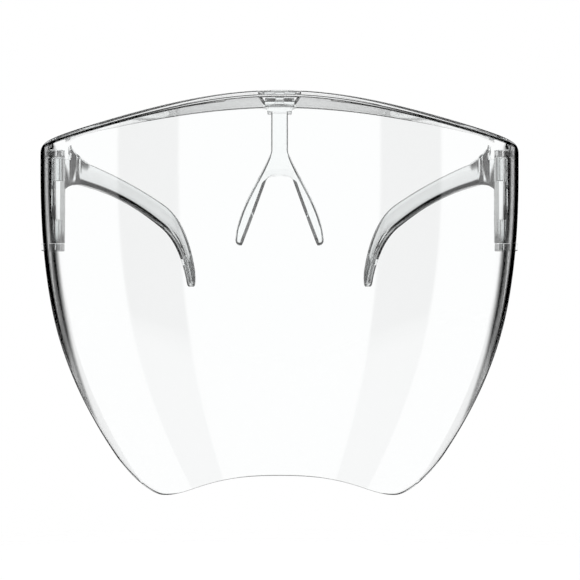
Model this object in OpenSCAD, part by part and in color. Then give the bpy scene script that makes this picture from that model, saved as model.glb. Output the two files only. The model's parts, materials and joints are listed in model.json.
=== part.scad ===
// Glasses-style full-face shield: a clear wrap-round visor, a clip-in nose bracket and two folding
// temples. The wearer looks along -Y, +Z is up, and +X is the wearer's left.
// The origin lies on the wearer's nose, midway between the two pad faces of the bracket.

/* [Visor] */
// Width of the visor over its side walls at the brow
visor_w = 199.4; // [180:1:220]
// Height from the brow at the sides down to the lowest point of the chin edge
visor_h = 142; // [118:1:172]
// Depth from the hinge line to the front of the brow
visor_depth = 65; // [54:1:80]
// Wall of the whole moulding
wall = 2; // [1.6:0.1:2.6]
// How much each side draws in from the brow to the chin
side_taper = 36; // [20:1:44]
// How far the chin lies behind the brow
chin_pull = 8; // [0:1:15]
// How far the rear edge runs forward at the chin
side_cut = 31; // [15:1:38]
// How far the middle of the chin edge is raised above its two lobes
chin_rise = 8.3; // [4:0.5:14]
// Height of the rounded lower corners
corner_rise = 15; // [8:1:24]

/* [Brow ledge] */
// Depth of the ledge in the middle
ledge_depth = 20; // [17:0.5:26]
// Width of the ledge's inward return at the hinge corners
ledge_return = 3; // [2.8:0.1:4]
// Rise of the brow's front edge in the middle
brow_crown = 11.3; // [8:0.1:13]
// Height of the ledge's rear edge over its front edge at the sides
rear_lift = 2.5; // [1:0.1:3.5]
// How much lower the ledge's rear edge lies than its front edge in the middle
ledge_fall = 1.6; // [0:0.1:2.5]
// Outer radius of the fold between visor and ledge
fold_r = 3; // [2.8:0.1:4]

/* [Clip window] */
// Width of the window at its rear, where the bracket's clip locks
window_w = 11.2; // [10:0.1:14]
// How much wider the window is at its front, where the clip goes in
window_flare = 4.8; // [2:0.1:6]
// Length of the window, front to back
window_l = 12; // [8:0.5:14]
// Bridge of the ledge left behind the window
bridge = 2.6; // [2:0.1:4]

/* [Nose bracket] */
// Height of the bracket from the leg tips to the collar's top
bracket_h = 52.2; // [44:1:60]
// Width of the stem
stem_w = 6.4; // [5:0.1:8]
// Length of the stem between collar and legs
stem_l = 14.6; // [10:0.1:20]
// Height of the web between the fork's start and the arch over the nose
fork_web = 8.8; // [6:0.1:11]
// Gap between the pads' lowest points
pad_gap = 29.2; // [24:0.1:34]
// Gap between the pads' highest points
pad_gap_top = 9.6; // [8:0.1:14]
// Thickness of a leg across, next to its tip
leg_t = 2.7; // [1.8:0.1:3.4]
// Depth of the legs, front to back
leg_depth = 7; // [5:0.1:9]
// Depth of the stem, front to back
stem_depth = 3.6; // [2.5:0.1:5]
// How far the leg tips lie behind the clip
leg_sweep = 17; // [8:0.5:22]
// Splay of the pad faces away from the nose, in plan
pad_splay = 16; // [8:1:24]
// Radius of the corners of the arch over the nose
arch_corner = 2.6; // [1.5:0.1:4]
// Width of the collar under the ledge
collar_w = 9.4; // [7:0.1:12]
// Height of the collar
collar_h = 2.5; // [2:0.1:4]
// Height of the clip's lip above the ledge
lip_h = 1.8; // [1.2:0.1:2.4]
// Reach of each barb out from the clip's plate, under the ledge
barb = 0.7; // [0.4:0.1:1.2]
// Clearance of the clip in its window
clip_gap = 0.15; // [0.1:0.05:0.3]

/* [Hinges] */
// Diameter of the hinge pins
pin_d = 2.5; // [2:0.1:3]
// Length of the hinge pins
pin_l = 13; // [10:0.5:16]
// Radial running clearance of a pin in the temple's leg
pin_gap = 0.05; // [0.02:0.01:0.1]
// Radius of the lugs and of the temple's barrel
barrel_r = 2.8; // [2.5:0.1:3.2]
// Thickness of each lug
lug_t = 3; // [2.5:0.1:4]
// Gap between a lug and the end of the temple's leg
lug_gap = 0.3; // [0.2:0.05:0.5]
// Distance of the pin from the visor's inner wall
pin_inset = 5.5; // [5:0.1:7]
// Distance of the pin ahead of the visor's rear edge
pin_ahead = 2.5; // [2:0.1:3]
// Height of the temple's leg
leg_h = 35.5; // [30:0.5:44]

/* [Temples] */
// Reach of the temple behind the hinge pin
temple_reach = 124; // [105:1:140]
// Thickness of the arm
arm_t = 2.8; // [2.2:0.1:3.4]
// Height of the arm at its ends
arm_h = 10; // [8:0.1:12]
// How much lower the arm is halfway
arm_waist = 1.4; // [0:0.1:3]
// Angle at which the arm runs inward
arm_toe_in = 21; // [14:0.5:24]
// Slope that the arm's gentle bow reaches where the ear hook starts
arm_slope = 13; // [6:0.5:18]
// Centre line radius of the ear hook
hook_r = 76; // [55:1:85]
// Angle of the ear hook's end below the horizontal
hook_angle = 50; // [35:1:60]
// Height of the rise on the arm, behind the upper lug
rise_h = 6; // [0.5:0.5:7]
// Radius of the arch between leg and arm
arch_r = 5; // [4:0.5:7]
// Length of the sleeve on the end of the ear hook
sleeve_l = 17; // [12:0.5:22]
// Wall of the sleeve on the tang's two sides
sleeve_wall = 0.7; // [0.5:0.05:0.9]
// Wall of the sleeve over the tang's edges
tang_step = 1.5; // [1:0.1:2]

/* [Hidden] */
$fn = 48;
eps = 0.01;
reach_past = 5;                 // how far a cutting shape runs past what it cuts
far = 60;                       // half length of a shape that runs right through
clear_blue = [0.86, 0.91, 0.94, 0.45];
clear_grey = [0.72, 0.76, 0.80, 0.6];

// Heights and depths from the nose saddle
side_z = 33.2;                  // top of the brow at the side walls
hinge_y = 30;                   // rear edge of the side walls
half_w = visor_w / 2;
chin_z = side_z - visor_h;
front_y = hinge_y - visor_depth;
rear_z = side_z + rear_lift;
rear_crown = brow_crown - rear_lift - ledge_fall;
ledge_rear_y = front_y + ledge_depth;

// Hinge: the leg hangs between an upper lug under the ledge and a lower one
lug_sink = 0.5;                 // how far the upper lug runs up into the ledge
upper_lug_z = side_z - wall - lug_t + lug_sink;
leg_top = upper_lug_z - lug_gap;
leg_bottom = leg_top - leg_h;
lower_lug_z = leg_bottom - lug_gap - lug_t;
pin_x = half_w - wall - pin_inset;
pin_y = hinge_y - pin_ahead;

// ---- Visor: a grid of points on the outer skin, and the same grid moved in by the wall ----
columns = 44;                   // steps from one rear edge to the other
wall_rows = 22;                 // steps from the chin edge to the fold
fold_rows = 4;                  // steps round the fold
ledge_rows = 3;                 // steps across the ledge
rows = wall_rows + fold_rows + ledge_rows;
lobe_at = 0.79;                 // where the chin lobes lie, as a share of the way to the rear edge
// How the curves gather: 1 is even, and more holds the change back towards the end
taper_power = 2.6;
pull_power = 2;
cut_power = 1.08;
crown_power = 0.88;
rise_power = 1.2;
ledge_power = 0.6;

function drop(z) = max(0, side_z - z) / visor_h;
function plan_a(z) = half_w - side_taper * pow(drop(z), taper_power);
function plan_b(z) = visor_depth - chin_pull * pow(drop(z), pull_power);
function rear_edge(z) =
    side_cut * pow(max(0, lower_lug_z - z) / (lower_lug_z - chin_z), cut_power);
function edge_angle(z) = acos(rear_edge(z) / plan_b(z));
function swell(x) = pow((1 + cos(180 * min(1, abs(x) / half_w))) / 2, crown_power);

// A point of the outer skin: s runs from -1 to 1 between the rear edges, z is the height
function skin(s, z) =
    let (a = s * edge_angle(z))
    [plan_a(z) * sin(a), hinge_y - plan_b(z) * cos(a), z];

// Height of the chin edge: a raised middle, two lobes, then the rounded corners
function chin_edge(s) =
    let (q = abs(s) / lobe_at, c = max(0, (abs(s) - lobe_at) / (1 - lobe_at)))
    q < 1
        ? chin_z + chin_rise * (1 + cos(180 * pow(q, rise_power))) / 2
        : chin_z + corner_rise * (1 - sqrt(max(0, 1 - c * c)));

// The ledge's rear edge, in plan, over the same share s
function ledge_rear(s) =
    let (w = half_w - ledge_return, x = w * sin(90 * s))
    [x, hinge_y - (hinge_y - ledge_rear_y) * pow(max(0, 1 - pow(x / w, 2)), ledge_power),
     rear_z + rear_crown * swell(x)];

// One row of a column: up the wall, round the fold, back along the ledge
function column_point(s, row) =
    let (
        brow = skin(s, side_z),
        top = side_z + brow_crown * swell(brow.x),
        rear = ledge_rear(s),
        back = [rear.x - brow.x, rear.y - brow.y] / norm([rear.x - brow.x, rear.y - brow.y]),
        low = chin_edge(s),
        k = row - wall_rows,
        turn = 90 * k / fold_rows,
        run = (k - fold_rows) / ledge_rows,
        start = [brow.x + back.x * fold_r, brow.y + back.y * fold_r, top]
    )
    row <= wall_rows
        ? skin(s, low + (top - fold_r - low) * row / wall_rows)
        : k <= fold_rows
            ? [brow.x + back.x * fold_r * (1 - cos(turn)), brow.y + back.y * fold_r * (1 - cos(turn)),
               top - fold_r * (1 - sin(turn))]
            : start + (rear - start) * run;

// Columns crowd together towards the rounded corners
function share(i) = sin(90 * (2 * i / columns - 1));

outer_skin = [for (i = [0:columns]) [for (j = [0:rows]) column_point(share(i), j)]];

function inward(i, j) =
    let (
        across = outer_skin[min(i + 1, columns)][j] - outer_skin[max(i - 1, 0)][j],
        up = outer_skin[i][min(j + 1, rows)] - outer_skin[i][max(j - 1, 0)],
        n = cross(up, across)
    )
    n / norm(n);

inner_skin = [for (i = [0:columns]) [for (j = [0:rows]) outer_skin[i][j] + wall * inward(i, j)]];

module moulded_shell() {
    n = rows + 1;
    inner = (columns + 1) * n;
    points = [for (side = [outer_skin, inner_skin]) for (c = side) for (p = c) p];
    skins = [for (i = [0:columns - 1]) for (j = [0:rows - 1])
        let (a = i * n + j, b = a + n)
        each [[a, a + 1, b + 1], [a, b + 1, b],
              [inner + a, inner + b + 1, inner + a + 1], [inner + a, inner + b, inner + b + 1]]];
    ends = [for (j = [0:rows - 1])
        let (a = j, b = columns * n + j)
        each [[a, inner + a, inner + a + 1], [a, inner + a + 1, a + 1],
              [b, b + 1, inner + b + 1], [b, inner + b + 1, inner + b]]];
    edges = [for (i = [0:columns - 1])
        let (a = i * n, b = a + n, c = a + rows, d = b + rows)
        each [[a, b, inner + b], [a, inner + b, inner + a],
              [c, inner + d, d], [c, inner + c, inner + d]]];
    polyhedron(points, concat(skins, ends, edges), convexity = 10);
}

// A lug reaches from the side wall, half way into it, round the pin
module lug(z) {
    reach = plan_a(z) - wall / 2 - pin_x;
    translate([pin_x, pin_y, z])
        linear_extrude(lug_t)
            union() {
                circle(barrel_r);
                translate([0, -barrel_r])
                    square([reach, 2 * barrel_r]);
            }
}

// The window in the ledge, wider at its front, where the clip goes in
window_rear = ledge_rear_y - bridge;

module window_outline() {
    w = window_w / 2;
    front_w = w + window_flare / 2;
    front = window_rear - window_l;
    polygon([[-w, window_rear], [w, window_rear], [front_w, front], [-front_w, front]]);
}

module visor_shell() {
    color(clear_blue)
    difference() {
        union() {
            moulded_shell();
            for (side = [0, 1])
                mirror([side, 0, 0]) {
                    lug(upper_lug_z);
                    lug(lower_lug_z);
                }
        }
        translate([0, 0, side_z])
            linear_extrude(brow_crown + wall)
                window_outline();
        for (side = [-1, 1])
            translate([side * pin_x, pin_y, lower_lug_z - wall])
                cylinder(d = pin_d, h = leg_h + 2 * lug_t + 2 * lug_gap + 2 * wall);
    }
}

// ---- Nose bracket ----
ledge_under = rear_z + rear_crown - wall;       // underside of the ledge at the bracket
bridge_top = ledge_under + wall + ledge_fall * bridge / ledge_depth;
collar_top = ledge_under - clip_gap;
collar_bottom = collar_top - collar_h;
tips_z = collar_top - bracket_h;
fork_z = collar_bottom - stem_l;
clip_y = window_rear - stem_depth / 2 - clip_gap;
arch_z = fork_z - fork_web;
bracket_steps = 14;             // steps from fork to tips
tip_r = 1.2;                    // radius of the tips' outer corners
leg_power = 1.25;               // how late the legs part
sweep_power = 1.5;              // how late they sweep back
depth_power = 0.7;              // how soon they deepen
arch_ease = 0.3;                // how far the arch runs out past the pads

// Half width of the outside of the legs at a share q of the way from fork to tips
function leg_out(q) =
    stem_w / 2 + (pad_gap / 2 + leg_t - stem_w / 2) * pow(sin(90 * q), leg_power);

module bracket_front() {
    tip_x = leg_out(1);
    side = concat(
        [for (i = [0:bracket_steps - 1])
            let (q = i / bracket_steps)
            [leg_out(q), fork_z - (fork_z - tips_z) * q]],
        [for (a = [0:30:90]) [tip_x - tip_r * (1 - cos(a)), tips_z + tip_r * (1 - sin(a))]]
    );
    polygon(concat(
        [[stem_w / 2, collar_bottom + eps]],
        side,
        [for (i = [len(side) - 1:-1:0]) [-side[i].x, side[i].y]],
        [[-stem_w / 2, collar_bottom + eps]]
    ));
}

// Side view of stem and legs at a share q of the way down: centre y, z and half depth
function bracket_run(q) =
    [clip_y + leg_sweep * pow(q, sweep_power),
     collar_bottom + eps + (tips_z - collar_bottom) * q,
     (stem_depth + (leg_depth - stem_depth) * pow(q, depth_power)) / 2];

module bracket_side() {
    run = [for (i = [0:bracket_steps]) bracket_run(i / bracket_steps)];
    polygon(concat(
        [for (p = run) [p.x - p[2], p.y]],
        [for (i = [bracket_steps:-1:0]) [run[i].x + run[i][2], run[i].y]]
    ));
}

// A front view, drawn right through from front to back
module right_through(y) {
    translate([0, y + far, 0])
        rotate([90, 0, 0])
            linear_extrude(2 * far)
                children();
}

// The space for the nose: a rounded arch over two flat pad faces that part towards the wearer.
// Each pad face is a slope drawn square to its splay, through the gaps set at the legs' fronts.
function across_pad(half_gap, run) = half_gap * cos(pad_splay) - (run.x - run[2]) * sin(pad_splay);

module pad_clearance() {
    shoulder_q = (collar_bottom - arch_z + arch_corner / 2) / (collar_bottom - tips_z);
    upper = [across_pad(pad_gap_top / 2, bracket_run(shoulder_q)), bracket_run(shoulder_q).y];
    lower = [across_pad(pad_gap / 2, bracket_run(1)), tips_z];
    slope = (lower - upper) / (upper.y - lower.y);
    rotate([0, 0, -pad_splay])
        right_through(0)
            polygon([
                [-far, lower.y - reach_past], lower + reach_past * slope,
                upper - reach_past * slope, [-far, upper.y + reach_past]
            ]);
}

module arch_outline() {
    wide = pad_gap_top / 2 + arch_ease - arch_corner;
    for (side = [-1, 1])
        translate([side * wide, arch_z - arch_corner])
            circle(arch_corner);
    translate([-wide, arch_z - arch_corner])
        square([2 * wide, arch_corner]);
    translate([-pad_gap, tips_z - reach_past])
        square([2 * pad_gap, arch_z - arch_corner - tips_z + reach_past]);
}

module nose_space() {
    intersection() {
        right_through(clip_y)
            arch_outline();
        pad_clearance();
        mirror([1, 0, 0])
            pad_clearance();
    }
}

// The clip went up through the window's wide front and slid back on to the bridge: a plate that
// fills the window's rear, a lip over the bridge and two barbs under the ledge's edges
plate_l = stem_depth + 0.8;     // length of the plate, front to back
plate_inset = 0.8;              // how far the lip starts behind the plate's front
lip_w = collar_w / 2;           // half width of the lip
notch_w = 4;                    // width of the notch in the lip's middle
notch_in = 0.6;                 // how far the notch's floor stands in from the lip's ends
notch_h = lip_h * 0.6;
barb_edge = 0.5;                // height of a barb's edge
barb_drop = 1.4;                // how far a barb's slope runs down
barb_root = 2;                  // how far a barb runs in under the plate

module clip_head() {
    half = window_w / 2 - clip_gap;
    rear = window_rear - clip_gap;
    front = rear - plate_l;
    front_half = half + window_flare / 2 * plate_l / window_l;
    lip_z = bridge_top + clip_gap;
    lip_start = front + plate_inset;
    lip_l = plate_l + bridge - plate_inset - notch_in;
    translate([0, 0, collar_top - eps])
        linear_extrude(lip_z - collar_top + 2 * eps)
            polygon([[-half, rear], [half, rear], [front_half, front], [-front_half, front]]);
    for (x = [-lip_w, notch_w / 2])
        translate([x, lip_start, lip_z])
            cube([lip_w - notch_w / 2, lip_l, lip_h]);
    translate([-notch_w / 2 - eps, lip_start + notch_in, lip_z])
        cube([notch_w + 2 * eps, lip_l - notch_in, notch_h]);
    for (side = [0, 1])
        mirror([side, 0, 0])
            translate([0, rear, 0])
                rotate([90, 0, 0])
                    linear_extrude(plate_l)
                        polygon([
                            [half - barb_root, collar_top], [half + barb, collar_top],
                            [half + barb, collar_top - barb_edge],
                            [lip_w - eps, collar_top - barb_drop]
                        ]);
}

module nose_bracket() {
    color(clear_grey)
    union() {
        difference() {
            intersection() {
                right_through(clip_y)
                    bracket_front();
                translate([-far, 0, 0])
                    rotate([90, 0, 90])
                        linear_extrude(2 * far)
                            bracket_side();
            }
            nose_space();
        }
        translate([-collar_w / 2, clip_y - stem_depth / 2, collar_bottom])
            cube([collar_w, stem_depth + bridge, collar_h]);
        clip_head();
    }
}

// ---- Temples, drawn for the wearer's left and mirrored for the right ----
elbow_in = 7;                   // where the web from the barrel meets the arm, in from the pin
elbow_back = 5.5;               // and back from it
elbow = [pin_x - elbow_in, pin_y + elbow_back];
arm_end_y = pin_y + temple_reach;
arm_mid_z = leg_top - arm_h / 2;                // centre line of the arm at the elbow

// Plan of the arm: straight at the toe-in angle, then easing parallel over the ear
straight_share = 0.64;          // share of the arm that runs straight
ease_radius = 192;              // radius of the easing curve
plan_steps = 11;                // steps along that curve
arm_over = 8;                   // how far the plan runs on past the hook's end
arm_run = arm_end_y - elbow.y;
ease_y = elbow.y + arm_run * straight_share;

function arm_x(y) =
    elbow.x - tan(arm_toe_in) * (y - elbow.y) + pow(max(0, y - ease_y), 2) / 2 / ease_radius;

module arm_plan(t) {
    curve_l = arm_end_y + arm_over - ease_y;
    ys = concat([elbow.y], [for (i = [0:plan_steps]) ease_y + curve_l * i / plan_steps]);
    n = [cos(arm_toe_in), sin(arm_toe_in)] * t / 2;
    last = len(ys) - 1;
    polygon(concat(
        [for (y = ys) [arm_x(y) + n.x, y + n.y]],
        [for (i = [last:-1:0]) [arm_x(ys[i]) - n.x, ys[i] - n.y]]
    ));
    translate(elbow)
        circle(d = t);
}

module web_plan() {
    web = elbow - [pin_x, pin_y];
    translate([pin_x, pin_y])
        rotate(atan2(web.y, web.x))
            translate([0, -arm_t / 2])
                square([norm(web), arm_t]);
}

// Side view of the arm's centre line: a gentle bow from level to the slope, then the tighter hook
hook_turn = hook_angle - arm_slope;
bow_run = arm_run - hook_r * (sin(hook_angle) - sin(arm_slope));
bow_r = bow_run / sin(arm_slope);
bow_centre = [elbow.y, arm_mid_z - bow_r];
hook_centre = bow_centre + (bow_r - hook_r) * [sin(arm_slope), cos(arm_slope)];

function arm_height(q) = arm_h - arm_waist * sin(180 * q);

function hook_point(a, off) = hook_centre + (hook_r + off) * [sin(a), cos(a)];
function bow_point(a, off) = bow_centre + (bow_r + off) * [sin(a), cos(a)];

side_steps = 8;                 // steps along the bow, and along the hook
cap_step = 15;                  // degrees between the points of the rounded end

function arm_edge(side, inset) = concat(
    [for (i = [0:side_steps])
        let (q = i / side_steps)
        bow_point(arm_slope * q, side * (arm_height(q) / 2 - inset))],
    [for (i = [1:side_steps])
        hook_point(arm_slope + hook_turn * i / side_steps, side * (arm_h / 2 - inset))]
);

module arm_side(inset) {
    upper = arm_edge(1, inset);
    lower = arm_edge(-1, inset);
    end = hook_point(hook_angle, 0);
    cap = [for (b = [cap_step:cap_step:180 - cap_step])
        end + (arm_h / 2 - inset) * [sin(hook_angle + b), cos(hook_angle + b)]];
    polygon(concat(upper, cap, [for (i = [len(lower) - 1:-1:0]) lower[i]]));
}

// Side view of the leg's web, with the arch under the arm and the rise behind the lug
web_start = 1;                  // where the web leaves the barrel, behind the pin
rise_back = 0.5;                // how far the rise stands behind the lug
arch_drop = 0.3;                // how far the arch's top lies below the arm
// The rise falls away to the arm in three slopes: distance back, and share of its height left
rise_slopes = [[0.5, 0.75], [1.6, 0.46], [3.4, 0.2]];
rise_end = [elbow.y + 8, arm_mid_z + arm_h / 2 - 0.2];

module leg_side() {
    web_y = pin_y + web_start;
    rise_y = pin_y + barrel_r + rise_back;
    under = arm_mid_z - arm_h / 2 - arch_drop;
    translate([pin_y, leg_bottom])
        square([web_start, leg_h]);
    difference() {
        translate([web_y - eps, under - arch_r])
            square([arch_r, arch_r + web_start]);
        translate([web_y + arch_r, under - arch_r])
            circle(arch_r);
    }
    polygon(concat(
        [[web_y - eps, under], [web_y - eps, leg_top], [rise_y, leg_top]],
        [[rise_y, leg_top + rise_h]],
        [for (p = rise_slopes) [rise_y + p[0], leg_top + rise_h * p[1]]],
        [rise_end, [rise_end.x, under + arm_h / 4]]
    ));
}

// The line on which the sleeve meets the arm
sleeve_turn = hook_angle - (sleeve_l - arm_h / 2) / hook_r * 180 / PI;

module beyond_seam(back) {
    translate(hook_centre)
        rotate(back - sleeve_turn)
            square([far, hook_r + far]);
}

// The tang on the arm's end, which fills the sleeve's pocket
module tang(back) {
    intersection() {
        upright()
            arm_plan(arm_t - 2 * sleeve_wall);
        along_x()
            intersection() {
                arm_side(tang_step);
                beyond_seam(back);
            }
    }
}

module along_x() {
    rotate([90, 0, 90])
        linear_extrude(half_w)
            children();
}

module upright() {
    translate([0, 0, leg_bottom - far])
        linear_extrude(leg_h + 2 * far)
            children();
}

module temple() {
    difference() {
        union() {
            intersection() {
                upright() {
                    web_plan();
                    arm_plan(arm_t);
                }
                along_x()
                    difference() {
                        union() {
                            arm_side(0);
                            leg_side();
                        }
                        beyond_seam(0);
                    }
            }
            tang(1);
            translate([pin_x, pin_y, leg_bottom])
                cylinder(r = barrel_r, h = leg_h);
        }
        bore_l = pin_l - lug_t - lug_gap + pin_gap;
        for (z = [leg_bottom - eps, leg_top - bore_l])
            translate([pin_x, pin_y, z])
                cylinder(r = pin_d / 2 + pin_gap, h = bore_l + eps);
    }
}

module tip_sleeve() {
    difference() {
        intersection() {
            upright()
                arm_plan(arm_t);
            along_x()
                intersection() {
                    arm_side(0);
                    beyond_seam(0);
                }
        }
        tang(1);
    }
}

module temple_left() {
    color(clear_blue)
        temple();
}

module temple_right() {
    color(clear_blue)
        mirror([1, 0, 0])
            temple();
}

module tip_sleeve_left() {
    color(clear_grey)
        tip_sleeve();
}

module tip_sleeve_right() {
    color(clear_grey)
        mirror([1, 0, 0])
            tip_sleeve();
}

// ---- Hinge pins ----
module hinge_pin(x, z) {
    color(clear_grey)
        translate([x, pin_y, z])
            cylinder(d = pin_d, h = pin_l);
}

upper_pin_z = upper_lug_z + lug_t - pin_l;
module hinge_pin_upper_left() { hinge_pin(pin_x, upper_pin_z); }
module hinge_pin_lower_left() { hinge_pin(pin_x, lower_lug_z); }
module hinge_pin_upper_right() { hinge_pin(-pin_x, upper_pin_z); }
module hinge_pin_lower_right() { hinge_pin(-pin_x, lower_lug_z); }

visor_shell();
nose_bracket();
temple_left();
temple_right();
hinge_pin_upper_left();
hinge_pin_lower_left();
hinge_pin_upper_right();
hinge_pin_lower_right();
tip_sleeve_left();
tip_sleeve_right();
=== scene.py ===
import json
import math
from types import SimpleNamespace

import bmesh
import bpy
import numpy as np
from bpy.props import FloatProperty, FloatVectorProperty, PointerProperty
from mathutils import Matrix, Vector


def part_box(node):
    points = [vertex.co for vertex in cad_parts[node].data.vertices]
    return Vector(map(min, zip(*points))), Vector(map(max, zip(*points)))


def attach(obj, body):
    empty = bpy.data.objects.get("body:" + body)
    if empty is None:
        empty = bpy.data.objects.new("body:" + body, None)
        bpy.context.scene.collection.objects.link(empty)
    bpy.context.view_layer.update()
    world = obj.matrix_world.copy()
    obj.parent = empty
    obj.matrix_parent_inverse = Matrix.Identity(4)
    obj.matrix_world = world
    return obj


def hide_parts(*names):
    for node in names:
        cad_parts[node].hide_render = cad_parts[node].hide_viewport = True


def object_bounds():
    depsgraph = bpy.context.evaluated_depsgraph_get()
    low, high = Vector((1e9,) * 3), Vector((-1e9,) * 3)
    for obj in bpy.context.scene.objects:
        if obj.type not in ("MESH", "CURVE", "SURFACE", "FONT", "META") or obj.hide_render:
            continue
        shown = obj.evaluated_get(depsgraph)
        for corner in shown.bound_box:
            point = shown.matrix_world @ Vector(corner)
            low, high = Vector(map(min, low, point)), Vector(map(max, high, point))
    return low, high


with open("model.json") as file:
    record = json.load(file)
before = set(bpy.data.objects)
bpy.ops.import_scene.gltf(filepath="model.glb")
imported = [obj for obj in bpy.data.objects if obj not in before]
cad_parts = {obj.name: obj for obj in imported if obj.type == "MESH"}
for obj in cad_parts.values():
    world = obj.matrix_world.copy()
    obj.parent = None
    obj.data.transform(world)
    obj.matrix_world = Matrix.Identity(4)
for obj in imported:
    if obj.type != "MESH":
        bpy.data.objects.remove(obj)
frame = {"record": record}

bl_info = {
    "name": "Clear face shield",
    "version": (1, 0, 0),
    "blender": (4, 5, 0),
    "location": "View3D > Sidebar > Face Shield",
    "description": "Builds a glasses-style clear face shield: visor, nose bracket, folding temples",
    "category": "Add Mesh",
}

MM = 0.001


# ---- Colours, and places taken from the frame in millimetres ----

def linear(hex_colour):
    """A linear colour from its sRGB hex value."""
    value = np.array([int(hex_colour[i:i + 2], 16) for i in (0, 2, 4)]) / 255
    return tuple(np.where(value <= 0.04045, value / 12.92, ((value + 0.055) / 1.055) ** 2.4)) + (1,)


def node_box(node):
    """Lowest and highest corner of a CAD node, in millimetres."""
    low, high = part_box(node)
    return np.array(low) / MM, np.array(high) / MM


VISOR_LOW, VISOR_HIGH = node_box("visor_shell")
UPPER_PIN_LOW, UPPER_PIN_HIGH = node_box("hinge_pin_upper_left")
LOWER_PIN_LOW = node_box("hinge_pin_lower_left")[0]
CAD_BOX = [[float(v) for v in corner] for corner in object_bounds()]
LUG_HEIGHT = 3


# ---- Sizes and colours that a user would change ----

def length(name, description, default):
    """A size property in scene units, from its default in millimetres."""
    return FloatProperty(name=name, description=description, default=default * MM, min=0,
                         precision=5, unit="LENGTH")


def in_millimetres(group):
    """A property group's sizes as plain numbers, in millimetres."""
    return SimpleNamespace(**{key: getattr(group, key) / MM for key in group.__annotations__})


class ShieldSizes(bpy.types.PropertyGroup):
    """Sizes of the shield's pieces."""

    visor_width: length("Visor width", "Over the side walls at the brow",
                        float(VISOR_HIGH[0] - VISOR_LOW[0]))
    visor_height: length("Visor height", "From the brow's sides to the lowest chin edge", 142)
    visor_depth: length("Visor depth", "From the hinge line to the front of the brow", 65)
    wall: length("Wall", "Wall of the whole moulding", 2)
    side_taper: length("Side taper", "How much each side draws in from brow to chin", 36)
    chin_pull: length("Chin pull", "How far the chin lies behind the brow", 8)
    side_cut: length("Side cut", "How far the rear edge runs forward at the chin", 31)
    chin_rise: length("Chin rise", "How far the chin's middle is raised above its lobes", 8.3)
    corner_rise: length("Corner rise", "Height of the rounded lower corners", 15)
    ledge_depth: length("Ledge depth", "Depth of the brow ledge in the middle", 20)
    ledge_return: length("Ledge return", "Width of the ledge at the hinge corners", 3)
    brow_crown: length("Brow crown", "Rise of the brow's front edge in the middle", 11.3)
    rear_lift: length("Rear lift", "Height of the ledge's rear edge at the sides", 2.5)
    ledge_fall: length("Ledge fall", "Fall of the ledge to its rear edge in the middle", 1.6)
    fold_radius: length("Fold radius", "Outer radius between visor and ledge", 3)
    rim_radius: length("Rim radius", "Rounding of the moulding's free edges", 0.25)
    window_width: length("Window width", "Width of the clip window at its rear", 11.2)
    window_flare: length("Window flare", "How much wider the window is at its front", 4.8)
    window_length: length("Window length", "Length of the clip window, front to back", 12)
    bridge: length("Bridge", "Ledge left behind the clip window", 2.6)
    lug_height: length("Lug height", "Height of each hinge lug", LUG_HEIGHT)
    lug_radius: length("Lug radius", "Radius of the lugs and of the temple's barrel", 2.8)
    stem_width: length("Stem width", "Width of the nose bracket's stem", 6.4)
    stem_length: length("Stem length", "Length of the stem between collar and legs", 14.6)
    stem_depth: length("Stem depth", "Depth of the nose bracket's stem", 3.6)
    fork_web: length("Fork web", "Height of the web between the fork and the arch", 8.8)
    pad_gap: length("Pad gap", "Gap between the pads' lowest points", 29.2)
    pad_gap_top: length("Upper pad gap", "Gap between the pads' highest points", 9.6)
    leg_thickness: length("Leg thickness", "Thickness of a leg across, next to its tip", 2.7)
    leg_depth: length("Leg depth", "Depth of the nose bracket's legs", 7)
    leg_sweep: length("Leg sweep", "How far the leg tips lie behind the clip", 17)
    bracket_height: length("Bracket height", "From the leg tips to the collar's top", 52.2)
    collar_width: length("Collar width", "Width of the collar under the ledge", 9.4)
    collar_height: length("Collar height", "Height of the collar", 2.5)
    lip_height: length("Lip height", "Height of the clip's lip above the ledge", 1.8)
    barb: length("Barb", "Reach of each barb out from the clip's block", 0.7)
    arm_thickness: length("Arm thickness", "Thickness of a temple's arm", 2.8)
    arm_height: length("Arm height", "Height of a temple's arm at its ends", 10)
    arm_waist: length("Arm waist", "How much lower the arm is halfway", 1.4)
    hook_radius: length("Hook radius", "Centre line radius of the ear hook", 76)
    leg_height: length("Leg height", "Height of the temple's hinge leg", 35.5)
    rise_height: length("Rise height", "Height of the rise behind the upper lug", 6)
    arch_radius: length("Arch radius", "Radius of the arch between leg and arm", 5)
    pin_diameter: length("Pin diameter", "Diameter of the hinge pins", 2.5)
    sleeve_length: length("Sleeve length", "Length of the sleeve on each ear hook", 17)
    sleeve_wall: length("Sleeve wall", "Wall of the sleeve on the tang's two sides", 0.7)
    tang_step: length("Tang step", "Wall of the sleeve over the tang's edges", 1.5)


def tint(name, description, hex_colour):
    """A colour property from its sRGB hex value."""
    return FloatVectorProperty(name=name, description=description, subtype="COLOR", size=4,
                               min=0, max=1, default=linear(hex_colour))


class ShieldFinish(bpy.types.PropertyGroup):
    """Colours of the shield's plastics and of the studio."""

    visor: tint("Visor", "What the polished visor lets through", "FDFEFE")
    arms: tint("Arms", "What the arms and the nose bracket let through", "FAFCFC")
    pins: tint("Pins", "What the hinge pins let through", "F2F4F4")
    sleeves: tint("Sleeves", "What the tip sleeves let through", "F4F6F6")
    floor: tint("Floor", "Pale matt studio floor", "F3F3F3")
    card: tint("Card", "Grey card on the floor behind the shield", "A0A0A0")


# ---- Nodes and materials ----

NOISE_LOW, NOISE_HIGH = 0.35, 0.75      # a noise pattern mostly stays between these


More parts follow.
